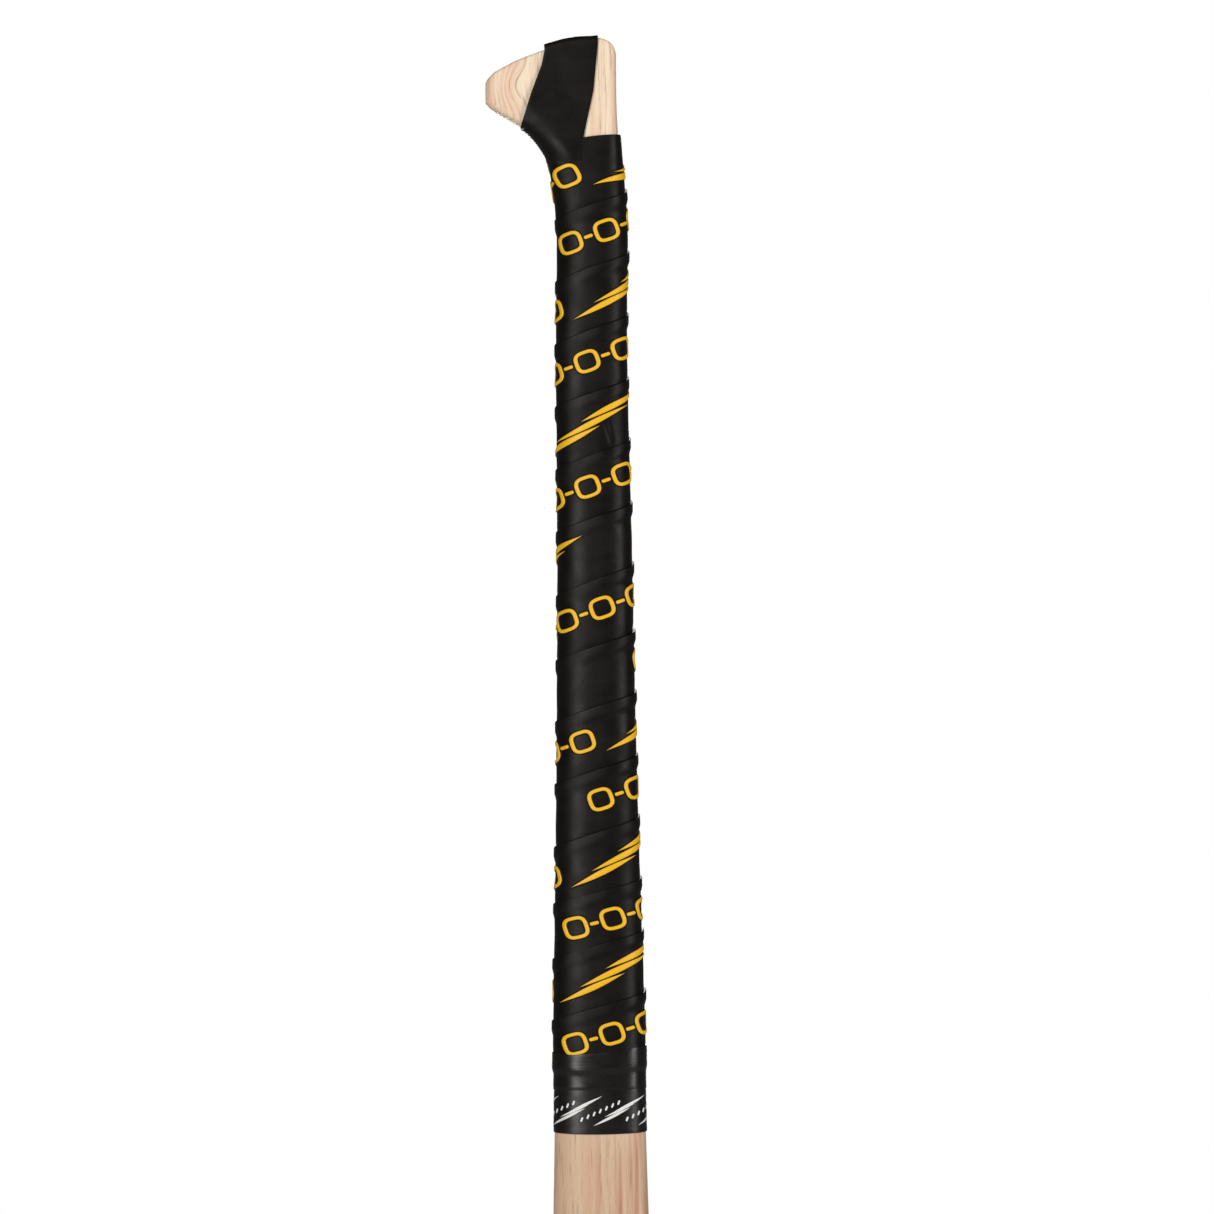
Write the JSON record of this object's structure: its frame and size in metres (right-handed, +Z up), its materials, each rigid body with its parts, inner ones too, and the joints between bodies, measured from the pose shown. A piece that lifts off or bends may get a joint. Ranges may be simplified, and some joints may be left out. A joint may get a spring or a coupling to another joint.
{
  "type": "hurling stick",
  "caption": "Ash hurley: hooked knob, oval handle with a wound rubber grip and finishing tapes, and a flat curved bas held by two nailed steel bands.",
  "frame": {"origin": "centre of the upper hand's hold on the handle, on the handle's axis, 100 mm below the top of the knob", "axes": "+Z up the handle to the knob, -Y out of the front cheek, -X to the side that the knob's nose and the toe point to"},
  "size_m": [0.1282, 0.0224, 0.9143],
  "materials": {
    "ash_wood": "sanded pale ash, light oil",
    "grip_rubber": "satin black moulded rubber",
    "grip_motif": "raised yellow rubber",
    "plain_vinyl": "glossy black vinyl tape",
    "printed_vinyl": "black vinyl tape",
    "tape_print": "white print",
    "band_steel": "tinned steel strip",
    "tack_steel": "domed steel tacks"
  },
  "bodies": {
    "root": {"ash_stick": "ash_wood", "grip_tape": "grip_rubber", "plain_finishing_tape": "plain_vinyl", "printed_finishing_tape": "printed_vinyl", "toe_band": "band_steel", "toe_band_tacks": "tack_steel", "heel_band": "band_steel", "heel_band_tacks": "tack_steel"}
  },
  "joints": []
}
